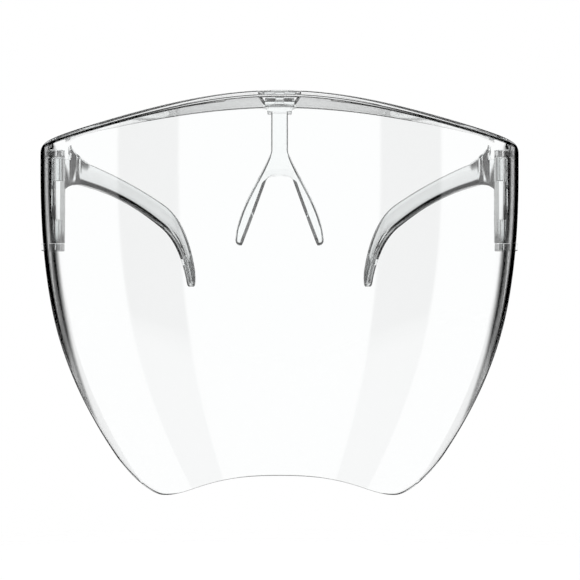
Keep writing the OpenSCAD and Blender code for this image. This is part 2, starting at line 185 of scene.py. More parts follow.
def add_node(tree, kind, settings=None, links=None):
    """Adds a node with its settings, and its inputs from values or from other nodes' outputs."""
    node = tree.nodes.new(kind)
    for key, value in (settings or {}).items():
        setattr(node, key, value)
    for key, value in (links or {}).items():
        if isinstance(value, bpy.types.NodeSocket):
            tree.links.new(value, node.inputs[key])
        else:
            node.inputs[key].default_value = value
    return node


def clear_plastic(name, colour, ior, ripple_mm, ripple_height_mm, haze_mm, haze):
    """A clear moulded plastic. Ripples of the mould's face bend what is seen through it a little,
    and handling haze makes its roughness vary from place to place."""
    material = bpy.data.materials.get(name)
    if material:
        return material
    material = bpy.data.materials.new(name)
    material.use_nodes = True
    tree = material.node_tree
    place = add_node(tree, "ShaderNodeTexCoord").outputs["Object"]
    ripple = add_node(tree, "ShaderNodeTexNoise", links={
        "Vector": place, "Scale": 1 / (ripple_mm * MM), "Detail": 1.0, "Roughness": 0.4})
    bump = add_node(tree, "ShaderNodeBump", links={
        "Height": ripple.outputs["Fac"], "Strength": 1.0, "Distance": ripple_height_mm * MM})
    haze_noise = add_node(tree, "ShaderNodeTexNoise", links={
        "Vector": place, "Scale": 1 / (haze_mm * MM), "Detail": 3.0})
    rough = add_node(tree, "ShaderNodeMapRange", links={
        "Value": haze_noise.outputs["Fac"], "From Min": NOISE_LOW, "From Max": NOISE_HIGH,
        "To Min": haze[0], "To Max": haze[1]})
    surface = tree.nodes["Principled BSDF"]
    surface.inputs["Base Color"].default_value = colour
    surface.inputs["IOR"].default_value = ior
    surface.inputs["Transmission Weight"].default_value = 1.0
    tree.links.new(rough.outputs["Result"], surface.inputs["Roughness"])
    tree.links.new(bump.outputs["Normal"], surface.inputs["Normal"])
    return material


def polished_polycarbonate(finish):
    """Polycarbonate moulded in a polished tool: water-clear and very glossy, with dark rims
    where light is trapped in the wall. Its ripples are 30 mm wide, as in a large flat moulding."""
    return clear_plastic("moulded_polycarbonate_polished", finish.visor, ior=1.585, ripple_mm=30,
                         ripple_height_mm=0.004, haze_mm=6, haze=(0.0, 0.012))


def arm_polycarbonate(finish):
    """The same polycarbonate in the thicker arms and nose bracket, where the moulding shrinks
    less evenly: finer ripples, and a little more haze from handling."""
    return clear_plastic("moulded_polycarbonate_thick", finish.arms, ior=1.585, ripple_mm=8,
                         ripple_height_mm=0.006, haze_mm=3, haze=(0.0, 0.03))


def clear_nylon(finish):
    """Clear nylon pins: turned rod, so faintly hazy where the polycarbonate round them is not."""
    return clear_plastic("clear_nylon_rod", finish.pins, ior=1.53, ripple_mm=1.5,
                         ripple_height_mm=0.004, haze_mm=1, haze=(0.03, 0.10))


def clear_elastomer(finish):
    """Soft clear elastomer sleeves: a slightly milky body with a soft gloss."""
    return clear_plastic("clear_soft_elastomer", finish.sleeves, ior=1.49, ripple_mm=4,
                         ripple_height_mm=0.01, haze_mm=1.5, haze=(0.03, 0.12))


# ---- Meshes, in millimetres ----

SHARP_ANGLE = math.radians(33)      # an edge that turns by more than this stays sharp


def grid_quads(rows, columns, closed=False):
    """Quads of a rows by columns grid of vertices, numbered row by row.

    Each quad runs from a vertex to the next in its row, and back along the row after it. A
    closed grid joins each row's last vertex to its first."""
    number = np.arange(rows * columns).reshape(rows, columns)
    if closed:
        number = np.concatenate([number, number[:, :1]], axis=1)
    return np.stack([number[:-1, :-1], number[:-1, 1:], number[1:, 1:], number[1:, :-1]],
                    axis=-1).reshape(-1, 4)


def new_mesh(name, points, faces):
    """A closed mesh from points in millimetres and lists of faces, its faces turned outwards."""
    mesh = bpy.data.meshes.new(name)
    mesh.from_pydata((np.asarray(points) * MM).tolist(), [],
                     [face for part in faces for face in np.asarray(part).tolist()])
    volume = bmesh.new()
    volume.from_mesh(mesh)
    if volume.calc_volume(signed=True) < 0:
        mesh.flip_normals()
    volume.free()
    return mesh


def tube(name, rings):
    """A closed body: rows of rings carried along a path, with a flat face on each end."""
    rows, columns = rings.shape[:2]
    last = (rows - 1) * columns
    ends = [list(range(columns))[::-1], list(range(last, last + columns))]
    return new_mesh(name, rings.reshape(-1, 3),
                    [grid_quads(rows, columns, closed=True), ends])


def plate(name, outline, low, high, radius=0.0, along="z"):
    """A plate: a convex outline carried from low to high along an axis, with rounded rims.

    Next to each rim, as an angle turns from 0 to 90 degrees, the outline draws in by
    radius * (1 - cos) and the height left to the rim is radius * (1 - sin). The outline's rows
    are [x, y] for a plate along z, [x, z] along y and [y, z] along x."""
    outline = np.asarray(outline, float)
    edge = np.roll(outline, -1, 0) - outline
    edge /= np.linalg.norm(edge, axis=1)[:, None]
    inward = np.stack([-edge[:, 1], edge[:, 0]], 1)
    before = np.roll(inward, 1, 0)
    mitre = (inward + before) / (1 + (inward * before).sum(1))[:, None]
    turn = np.radians([90, 60, 30, 0]) if radius else np.zeros(1)
    inset = radius * (1 - np.cos(turn))
    climb = radius * (1 - np.sin(turn))
    inset = np.concatenate([inset, inset[::-1]])
    height = np.concatenate([low + climb, high - climb[::-1]])
    rings = outline[None] + inset[:, None, None] * mitre[None]
    level = np.broadcast_to(height[:, None, None], rings.shape[:2] + (1,))
    points = np.concatenate([rings, level], -1)
    return tube(name, points[..., {"x": [2, 0, 1], "y": [0, 2, 1], "z": [0, 1, 2]}[along]])


def turned(name, profile, centre, steps=64):
    """A turned solid: a profile of [radius, height] rows carried round z, with flat ends."""
    profile = np.asarray(profile, float)
    turn = np.arange(steps) / steps * 2 * np.pi
    return tube(name, np.stack([centre[0] + profile[:, :1] * np.cos(turn),
                                centre[1] + profile[:, :1] * np.sin(turn),
                                np.repeat(profile[:, 1:], steps, 1)], -1))


def rounded_corners(steps=4):
    """A rounded rectangle's ring: the sign of each vertex's quarter, and its place on a round."""
    turn = np.radians(np.linspace(0, 90, steps + 1)[None] + np.array([[0], [90], [180], [270]]))
    sign = np.array([[1, 1], [-1, 1], [-1, -1], [1, -1]])
    ring = np.stack([np.cos(turn), np.sin(turn)], -1)
    return np.repeat(sign, steps + 1, 0), ring.reshape(-1, 2)


def section(half_width, half_height, radius):
    """Rings of rounded rectangles: sign * (half side - radius) + radius * (cos, sin), where the
    radius may differ from ring to ring."""
    sign, turn = rounded_corners()
    half = np.stack([half_width, half_height], -1)[:, None, :]
    radius = np.minimum(radius, half.min(-1, keepdims=True))
    return sign * (half - radius) + radius * turn


def box_outline(low_x, high_x, low_y, high_y):
    """A rectangle's four corners, counterclockwise."""
    return [[low_x, low_y], [high_x, low_y], [high_x, high_y], [low_x, high_y]]


def together(name, meshes):
    """One mesh of several separate closed bodies."""
    joint = bmesh.new()
    for mesh in meshes:
        joint.from_mesh(mesh)
        bpy.data.meshes.remove(mesh)
    whole = bpy.data.meshes.new(name)
    joint.to_mesh(whole)
    joint.free()
    return whole


def new_object(name, mesh):
    """An object at the origin that shows a mesh."""
    made = bpy.data.objects.new(name, mesh)
    bpy.context.scene.collection.objects.link(made)
    return made


def moulded(name, body, joined=(), cut=()):
    """One moulding's mesh: a body with other closed bodies joined to it, and others cut away."""
    base = new_object(name, body)
    helpers = []
    for operation, meshes in (("UNION", joined), ("DIFFERENCE", cut)):
        for mesh in meshes:
            helper = new_object(name + "_tool", mesh)
            step = base.modifiers.new(operation, "BOOLEAN")
            step.operation = operation
            step.solver = "MANIFOLD"
            step.object = helper
            helpers.append(helper)
    bpy.context.view_layer.update()
    graph = bpy.context.evaluated_depsgraph_get()
    result = bpy.data.meshes.new_from_object(base.evaluated_get(graph), depsgraph=graph)
    for used in [base, *helpers]:
        data = used.data
        bpy.data.objects.remove(used)
        bpy.data.meshes.remove(data)
    return result


def finish_piece(name, mesh, material, body, node):
    """Shows a mesh as the piece that stands for a CAD node and rides on its body."""
    mesh.name = name
    mesh.materials.clear()
    mesh.materials.append(material)
    mesh.shade_smooth()
    mesh.set_sharp_from_angle(angle=SHARP_ANGLE)
    piece = new_object(name, mesh)
    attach(piece, body)
    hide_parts(node)
    return piece


def mirrored(mesh):
    """A copy of a mesh mirrored in the plane between the wearer's eyes, faces still outwards."""
    copy = mesh.copy()
    points = np.empty(len(copy.vertices) * 3)
    copy.vertices.foreach_get("co", points)
    points[::3] *= -1
    copy.vertices.foreach_set("co", points)
    copy.flip_normals()
    copy.update()
    return copy


# ---- Visor ----

LOBE_AT = 0.79          # where the chin lobes lie, as a share of the way to the rear edge
TAPER_POWER = 2.6       # how the curves gather: 1 is even, more holds the change back
PULL_POWER = 2
CUT_POWER = 1.08
CROWN_POWER = 0.88
RISE_POWER = 1.2
LEDGE_POWER = 0.6
RIM_LAND = 0.2          # flat strip beside each rounded rim, which keeps the skin's shading true
BORE_OVERRUN = 1        # how far a bore's cutter runs past what it cuts
SKIN_COLUMNS = 221      # columns and rows of the skin's grid
WALL_ROWS, FOLD_ROWS, LEDGE_ROWS = 91, 13, 5
PIN_X = float(UPPER_PIN_LOW[0] + UPPER_PIN_HIGH[0]) / 2
PIN_Y = float(UPPER_PIN_LOW[1] + UPPER_PIN_HIGH[1]) / 2
LOWER_LUG_Z = float(LOWER_PIN_LOW[2])
UPPER_LUG_TOP = float(UPPER_PIN_HIGH[2])
HINGE_Y = PIN_Y + 2.5   # the side walls' rear edges, and the middle of every plan ellipse


class VisorForm:
    """The visor's outer skin as a function of two parameters.

    u runs from -1 to 1 between the two rear edges. t runs from 0 at the chin edge to 1 at the
    fold, to 2 at the ledge and to 3 at the ledge's rear edge."""

    def __init__(self, sizes):
        self.sizes = sizes
        self.half = sizes.visor_width / 2
        self.side = float(VISOR_HIGH[2]) - sizes.brow_crown
        self.chin = self.side - sizes.visor_height

    def plan(self, share, z):
        """A level section is part of an ellipse: x = a sin(angle), y = hinge - b cos(angle).

        a falls by the side taper and b by the chin pull, by powers of the drop below the brow,
        and the ellipse ends where the rear edge has run forward by the side cut."""
        sizes = self.sizes
        drop = np.maximum(0, self.side - z) / sizes.visor_height
        a = self.half - sizes.side_taper * drop ** TAPER_POWER
        b = sizes.visor_depth - sizes.chin_pull * drop ** PULL_POWER
        below = np.maximum(0, LOWER_LUG_Z - z) / (LOWER_LUG_Z - self.chin)
        angle = share * np.arccos(sizes.side_cut * below ** CUT_POWER / b)
        return np.stack([a * np.sin(angle), HINGE_Y - b * np.cos(angle), z], -1)

    def crown(self, x):
        """The brow's rise over its sides: a raised cosine of x, to a power."""
        across = np.minimum(1, np.abs(x) / self.half)
        return ((1 + np.cos(np.pi * across)) / 2) ** CROWN_POWER

    def chin_edge(self, share):
        """Height of the chin edge: a raised middle, two lobes and quarter-round corners."""
        sizes = self.sizes
        q = np.minimum(1, np.abs(share) / LOBE_AT)
        corner = np.clip((np.abs(share) - LOBE_AT) / (1 - LOBE_AT), 0, 1)
        return (self.chin + sizes.chin_rise * (1 + np.cos(np.pi * q ** RISE_POWER)) / 2
                + sizes.corner_rise * (1 - np.sqrt(1 - corner ** 2)))

    def ledge_rear(self, share):
        """The ledge's rear edge: depth falls off towards the sides as a power of 1 - x squared."""
        sizes = self.sizes
        width = self.half - sizes.ledge_return
        x = width * np.sin(np.pi / 2 * share)
        depth = sizes.visor_depth - sizes.ledge_depth
        y = HINGE_Y - depth * np.maximum(0, 1 - (x / width) ** 2) ** LEDGE_POWER
        crown = sizes.brow_crown - sizes.rear_lift - sizes.ledge_fall
        return np.stack([x, y, self.side + sizes.rear_lift + crown * self.crown(x)], -1)

    def outer(self, u, t):
        """A point of the outer skin. Up the wall z goes evenly from the chin edge to the fold,
        the fold is a quarter circle, and the ledge runs straight to its rear edge. In the
        lower corners the rows end on the rounded corner, so that u = 1 follows the edge."""
        sizes = self.sizes
        half_corner = math.sqrt(0.5)
        corner_z = self.chin + sizes.corner_rise * (1 - half_corner)
        up = np.clip(t, 0, 1)
        end_z = corner_z + (self.side - sizes.fold_radius - corner_z) * up
        k = np.clip(1 - (end_z - self.chin) / sizes.corner_rise, 0, 1)
        share = u * (LOBE_AT + (1 - LOBE_AT) * np.sqrt(1 - k ** 2))
        corner_share = LOBE_AT + (1 - LOBE_AT) * half_corner
        low = self.chin_edge(np.minimum(np.abs(share), corner_share))
        brow = self.plan(share, np.full_like(share, self.side))
        top = self.side + sizes.brow_crown * self.crown(brow[..., 0])
        wall = self.plan(share, low + (top - sizes.fold_radius - low) * up)
        rear = self.ledge_rear(share)
        back = (rear - brow)[..., :2]
        back /= np.linalg.norm(back, axis=-1)[..., None]
        turn = np.pi / 2 * np.clip(t - 1, 0, 1)
        over = sizes.fold_radius * (1 - np.cos(turn))
        fold = np.stack([brow[..., 0] + back[..., 0] * over, brow[..., 1] + back[..., 1] * over,
                         top - sizes.fold_radius * (1 - np.sin(turn))], -1)
        run = np.clip(t - 2, 0, 1)[..., None]
        ledge = fold + (rear - fold) * run
        return np.where((t <= 1)[..., None], wall, np.where((t <= 2)[..., None], fold, ledge))

    def inward(self, u, t):
        """The skin's inward direction: the cross product of its slopes along t and u."""
        step = 1e-4
        along_u = self.outer(np.minimum(u + step, 1), t) - self.outer(np.maximum(u - step, -1), t)
        along_t = self.outer(u, np.minimum(t + step, 3)) - self.outer(u, np.maximum(t - step, 0))
        normal = np.cross(along_t, along_u)
        return normal / np.linalg.norm(normal, axis=-1)[..., None]


def visor_skin(sizes):
    """The whole moulding: outer skin, the same skin moved in by the wall, and a rim between
    them that follows the skin's edge, with both its corners rounded."""
    form = VisorForm(sizes)
    u_line = np.linspace(-1, 1, SKIN_COLUMNS)
    t_line = np.concatenate([np.linspace(0, 1, WALL_ROWS)[:-1],
                             np.linspace(1, 2, FOLD_ROWS)[:-1], np.linspace(2, 3, LEDGE_ROWS)])
    t, u = np.meshgrid(t_line, u_line, indexing="ij")
    outer, inward = form.outer(u, t), form.inward(u, t)
    rows, columns = u.shape
    number = np.arange(rows * columns).reshape(rows, columns)
    edge = np.concatenate([number[0, :-1], number[:-1, -1], number[-1, :0:-1], number[:0:-1, 0]])
    at, normal = outer.reshape(-1, 3)[edge], inward.reshape(-1, 3)[edge]
    along = np.roll(at, -1, 0) - np.roll(at, 1, 0)
    out = np.cross(normal, along)
    out /= np.linalg.norm(out, axis=1)[:, None]
    radius = sizes.rim_radius
    turn = np.radians([0, 0, 30, 60, 90])
    pull = radius * (1 - np.sin(turn)) + RIM_LAND * np.array([1, 0, 0, 0, 0])
    depth = radius * (1 - np.cos(turn))
    pull = np.concatenate([pull, pull[::-1]])
    depth = np.concatenate([depth, sizes.wall - depth[::-1]])
    rings = at[None] - pull[:, None, None] * out[None] + depth[:, None, None] * normal[None]
    skin = outer.reshape(-1, 3).copy()
    lining = (outer + sizes.wall * inward).reshape(-1, 3)
    skin[edge], lining[edge] = rings[0], rings[-1]
    count, size = len(edge), rows * columns
    middle = rings[1:-1]
    quads = grid_quads(rows, columns)
    ladder = np.concatenate([edge[None], 2 * size + np.arange(middle.shape[0] * count)
                             .reshape(-1, count), size + edge[None]])
    after = np.roll(ladder, -1, 1)
    strips = np.stack([after[:-1], ladder[:-1], ladder[1:], after[1:]], -1).reshape(-1, 4)
    points = np.concatenate([skin, lining, middle.reshape(-1, 3)])
    return new_mesh("visor", points, [quads, quads[:, ::-1] + size, strips])


def lug_outline(sizes, side):
    """A lug in plan: a half circle round the pin, then square to the middle of the wall."""
    turn = np.radians(np.linspace(90, 270, 33))
    round_part = np.array([PIN_X, PIN_Y]) + sizes.lug_radius * np.stack(
        [np.cos(turn), np.sin(turn)], 1)
    reach = sizes.visor_width / 2 - sizes.wall / 2
    outline = np.concatenate([round_part, [[reach, PIN_Y - sizes.lug_radius],
                                           [reach, PIN_Y + sizes.lug_radius]]])
    return outline if side > 0 else outline[::-1] * [-1, 1]


def window_rear(sizes):
    """Depth of the clip window's rear edge."""
    return HINGE_Y - sizes.visor_depth + sizes.ledge_depth - sizes.bridge


def window_mesh(sizes):
    """The clip window: a shape that widens to the front, cut straight down through the ledge."""
    rear = window_rear(sizes)
    half = sizes.window_width / 2
    front_half = half + sizes.window_flare / 2
    top = float(VISOR_HIGH[2])
    outline = [[-half, rear], [-front_half, rear - sizes.window_length],
               [front_half, rear - sizes.window_length], [half, rear]]
    return plate("window", outline, top - sizes.brow_crown, top + sizes.wall)


class SHIELD_OT_visor(bpy.types.Operator):
    """Adds the wrap-round visor with its brow ledge, clip window and hinge lugs"""

    bl_idname = "shield.visor"
    bl_label = "Visor"

    def execute(self, context):
        sizes = in_millimetres(context.scene.shield_sizes)
        lugs, cuts = [], [window_mesh(sizes)]
        radius = sizes.pin_diameter / 2
        for side in (-1, 1):
            for low in (UPPER_LUG_TOP - sizes.lug_height, LOWER_LUG_Z):
                high = low + sizes.lug_height
                lugs.append(plate("lug", lug_outline(sizes, side), low, high, sizes.rim_radius))
                cuts.append(turned("bore", [[radius, low - BORE_OVERRUN],
                                            [radius, high + BORE_OVERRUN]],
                                   (side * PIN_X, PIN_Y)))
        mesh = moulded("visor", visor_skin(sizes), [together("lugs", lugs)],
                       [together("cuts", cuts)])
        finish_piece("visor", mesh, polished_polycarbonate(context.scene.shield_finish), "visor",
                     "visor_shell")
        return {"FINISHED"}


# ---- Nose bracket ----

CLIP_GAP = 0.15         # clearance of the clip in its window
LEG_POWER = 1.25        # how late the bracket's legs part
SWEEP_POWER = 1.5       # how late they sweep back
DEPTH_POWER = 0.7       # how soon they deepen
PAD_SPLAY = math.radians(16)    # splay of the pad faces away from the nose, in plan
STEM_ROUND, LEG_ROUND = 0.6, 1.0     # rounding of the stem's and of the legs' long edges
TIP_ROUND = 2.0         # rounding of the legs' lower ends
ARCH_DROP = 2.6         # height of the rounded arch over the nose
ARCH_FULLNESS = 2.6     # 2 is an ellipse, and more is squarer
LIP_SETBACK = 0.8       # how far the lips start behind the tops of the catches
NOTCH_HALF = 1.5        # half width of the notch in the lip's middle
LIP_LEAN = 1.2          # how far each lip's front leans out over the window
CATCH_LEAN = 1.1        # how far each catch's front leans forward, so that it snaps home
NOTCH_IN = 0.6          # how far the notch's floor stands in from the lip's ends
NOTCH_SHARE = 0.6       # the notch's floor as a share of the lip's height
CATCH_INSET = 0.1       # how far a catch stands in from the notch and from the block's rear
CATCH_REACH = 0.2       # how far a catch reaches out beyond the block's side
BARB_EDGE = 0.5         # height of a barb's edge
BARB_DROP = 1.4         # how far a barb's slope runs down
BARB_ROOT = 2           # how far a barb runs in under the block
CLIP_ROUND = 0.2        # rounding of the clip's edges
MIDDLE_SETBACK = 0.4    # how far the clip's middle stands behind the catches
SINK = 0.3              # how far one of the bracket's bodies runs into the next
MIDDLE_SINK, CATCH_SINK = 0.2, 0.25      # the same for the clip's middle and for the catches
SLIP = 0.01             # keeps the faces of two bodies out of one plane
BLADE_ROWS = 90
BLADE_SINK = 0.5        # how far the blade runs up into the collar
SPACE_FRONT, SPACE_REAR, SPACE_DROP = -40.0, 20.0, 5     # the nose space runs past the legs


class BracketForm:
    """Heights and depths that the bracket's pieces share."""

    def __init__(self, sizes):
        self.sizes = sizes
        ledge_top = float(VISOR_HIGH[2]) - sizes.ledge_fall
        self.collar_top = ledge_top - sizes.wall - CLIP_GAP
        self.collar_bottom = self.collar_top - sizes.collar_height
        self.tips = self.collar_top - sizes.bracket_height
        self.fork = self.collar_bottom - sizes.stem_length
        self.arch = self.fork - sizes.fork_web
        self.clip_y = window_rear(sizes) - sizes.stem_depth / 2 - CLIP_GAP
        self.lip_z = ledge_top + sizes.ledge_fall * sizes.bridge / sizes.ledge_depth + CLIP_GAP

    def half_width(self, z):
        """Half width over the legs: the stem's, then growing by a sine to a power to the tips."""
        sizes = self.sizes
        q = np.clip((self.fork - z) / (self.fork - self.tips), 0, 1)
        spread = sizes.pad_gap / 2 + sizes.leg_thickness - sizes.stem_width / 2
        return sizes.stem_width / 2 + spread * np.sin(np.pi / 2 * q) ** LEG_POWER

    def run(self, z):
        """Centre depth and half depth: both grow by a power of the share of the way down."""
        sizes = self.sizes
        q = np.clip((self.collar_bottom - z) / (self.collar_bottom - self.tips), 0, 1)
        half = (sizes.stem_depth + (sizes.leg_depth - sizes.stem_depth) * q ** DEPTH_POWER) / 2
        return self.clip_y + sizes.leg_sweep * q ** SWEEP_POWER, half

    def pad_half_gap(self, y, z):
        """Half the gap between the flat pad faces: a slope down, splayed open to the rear."""
        sizes = self.sizes
        shoulder = self.arch - ARCH_DROP / 2
        upper_y, upper_half = self.run(shoulder)
        lower_y, lower_half = self.run(self.tips)
        across = np.array([sizes.pad_gap_top, sizes.pad_gap]) / 2 * math.cos(PAD_SPLAY)
        across -= np.array([upper_y - upper_half, lower_y - lower_half]) * math.sin(PAD_SPLAY)
        share = (shoulder - z) / (shoulder - self.tips)
        square = across[0] + (across[1] - across[0]) * share
        return (square + y * math.sin(PAD_SPLAY)) / math.cos(PAD_SPLAY)


def bracket_body(form):
    """Stem and legs as one blade: rounded rectangles carried down from the collar, as wide as
    both legs together, with rounded lower ends."""
    turn = np.radians(np.arange(15, 91, 15))
    z = np.linspace(form.collar_bottom + BLADE_SINK, form.tips + TIP_ROUND, BLADE_ROWS)
    drawn = np.concatenate([np.zeros(BLADE_ROWS), TIP_ROUND * (1 - np.cos(turn))])
    z = np.concatenate([z, form.tips + TIP_ROUND * (1 - np.sin(turn))])
    centre, half = form.run(z)
    radius = np.interp(z, [form.arch, form.fork], [LEG_ROUND, STEM_ROUND])[:, None, None]
    ring = section(form.half_width(z) - drawn, half - drawn / 2, radius)
    level = np.broadcast_to(z[:, None], ring.shape[:2])
    return tube("blade", np.stack([ring[..., 0], centre[:, None] + ring[..., 1], level], -1))


def nose_space(form):
    """The space for the nose: pad_half_gap to both sides, closed above by a squared-off arch
    whose height and width are powers of a sine and a cosine."""
    turn = np.radians(np.linspace(0, 84, 15))
    shoulder = form.arch - ARCH_DROP
    z = np.concatenate([[form.tips - SPACE_DROP],
                        shoulder + ARCH_DROP * np.sin(turn) ** (2 / ARCH_FULLNESS)])
    share = np.concatenate([[1], np.cos(turn) ** (2 / ARCH_FULLNESS)])
    depth = np.array([SPACE_FRONT, SPACE_FRONT, SPACE_REAR, SPACE_REAR])
    side = np.array([1, -1, -1, 1])
    half = form.pad_half_gap(depth[None], z[:, None]) * share[:, None]
    level = np.broadcast_to(z[:, None], half.shape)
    return tube("nose_space", np.stack([side * half, np.broadcast_to(depth, half.shape), level],
                                       -1))


def clip_bodies(form):
    """The collar under the ledge and the clip above it: a block through the window's rear, with
    a leaning catch on each side of its middle, two lips over the bridge with a notch between
    them, and a barb on each side."""
    sizes = form.sizes
    half = sizes.window_width / 2 - CLIP_GAP
    rear = window_rear(sizes) - CLIP_GAP
    length = sizes.stem_depth + LIP_SETBACK
    front = rear - length
    lip = sizes.collar_width / 2
    lip_front = front + LIP_SETBACK
    lip_rear = lip_front + length + sizes.bridge - LIP_SETBACK - NOTCH_IN
    lip_top = form.lip_z + sizes.lip_height
    stem_front = form.clip_y - sizes.stem_depth / 2
    catch_rear = rear - CATCH_INSET
    catch_low, catch_high = form.collar_top - CATCH_SINK, form.lip_z + CATCH_SINK
    bodies = [
        plate("collar", box_outline(-lip, lip, stem_front,
                                    stem_front + sizes.stem_depth + sizes.bridge),
              form.collar_bottom, form.collar_top, CLIP_ROUND),
        plate("block", box_outline(-half, half, front + CATCH_LEAN + CATCH_INSET, rear),
              form.collar_top - SINK, form.lip_z + SINK),
        plate("middle", box_outline(-NOTCH_HALF, NOTCH_HALF, front + MIDDLE_SETBACK, rear - SINK),
              form.collar_top - MIDDLE_SINK, form.lip_z + MIDDLE_SINK),
        plate("notch_floor", box_outline(-NOTCH_HALF - SINK, NOTCH_HALF + SINK,
                                         lip_front + NOTCH_IN, lip_rear - NOTCH_IN),
              form.lip_z, form.lip_z + NOTCH_SHARE * sizes.lip_height, CLIP_ROUND),
    ]
    for side in (-1, 1):
        low, high = sorted((side * NOTCH_HALF, side * lip))
        bodies.append(plate("lip", [[lip_front + LIP_LEAN, form.lip_z], [lip_rear, form.lip_z],
                                    [lip_rear, lip_top], [lip_front, lip_top]],
                            low, high, CLIP_ROUND, "x"))
        low, high = sorted((side * (NOTCH_HALF + CATCH_INSET), side * (half + CATCH_REACH)))
        bodies.append(plate("catch", [[front + CATCH_LEAN, catch_low], [catch_rear, catch_low],
                                      [catch_rear, catch_high], [front, catch_high]],
                            low, high, CLIP_ROUND, "x"))
        barb = np.array([[half - BARB_ROOT, form.collar_top + SLIP],
                         [lip - SINK, form.collar_top - BARB_DROP],
                         [half + sizes.barb, form.collar_top - BARB_EDGE],
                         [half + sizes.barb, form.collar_top + SLIP]])
        barb = barb if side > 0 else (barb * [-1, 1])[::-1]
        bodies.append(plate("barb", barb, front + SLIP, rear - SLIP, along="y"))
    return bodies


class SHIELD_OT_nose_bracket(bpy.types.Operator):
    """Adds the wishbone nose bracket with its clip"""

    bl_idname = "shield.nose_bracket"
    bl_label = "Nose bracket"

    def execute(self, context):
        form = BracketForm(in_millimetres(context.scene.shield_sizes))
        blade = moulded("blade", bracket_body(form), cut=[nose_space(form)])
        mesh = moulded("nose_bracket", blade, clip_bodies(form))
        finish_piece("nose_bracket", mesh, arm_polycarbonate(context.scene.shield_finish),
                     "visor", "nose_bracket")
        return {"FINISHED"}


# ---- Temples and sleeves, drawn for the wearer's left and mirrored for the right ----

ELBOW = np.array([PIN_X - 7, PIN_Y + 5.5])      # where the web from the barrel meets the arm
ARM_REACH = 123.8       # reach of the arm's end behind the hinge pin
TOE_IN = math.tan(math.radians(21))             # how much the arm runs inward
STRAIGHT_SHARE = 0.64   # share of the arm that runs straight before it eases over the ear
EASE_RADIUS = 192       # radius of the easing curve
ELBOW_EASE = 0.08       # how far the elbow is rounded off
ARM_SLOPE = 13          # degrees of slope where the bow ends and the ear hook starts
HOOK_ANGLE = 50         # degrees of slope at the ear hook's end
ARM_ROUND = 0.35        # rounding of the arm's long edges
WEB_START = 1           # where the web leaves the barrel, behind the pin
RISE_BACK = 0.5         # how far the rise stands behind the lug
LUG_GAP = 0.3           # gap between a lug and the end of the leg
PIN_GAP = 0.05          # running clearance of a pin in the leg
SEAM_GAP = 0.06         # air between tang and sleeve, which shows the seam
BARREL_CHAMFER = 0.3
LEG_TOP = UPPER_LUG_TOP - LUG_HEIGHT - LUG_GAP
ARCH_CROWN = 0.3        # how far the arch's crown stands below the arm's underside
ARCH_STEPS, WEB_STEPS = 25, 24
FALL_START = 0.03       # the rise ends this far behind its front
FALL_RUN = np.array([0, 0.5, 1.6, 3.4, 10.2])   # its fall's points, by their distance behind
FALL_SHARE = np.array([1, 0.75, 0.46, 0.2, -0.04])      # and by their share of its height
BOW_ROWS, HOOK_ROWS, TANG_ROWS, SLEEVE_ROWS, CAP_ROWS = 40, 40, 12, 14, 12
BOW_GAP, HOOK_GAP = 0.15, 0.7   # degrees between the last row of one stretch and the next one's
CAP_TURN = (8, 84)      # degrees of turn of the round end's first and last row
OCTAGON_TURN = 22.5     # degrees that set the post's flats square to the shield


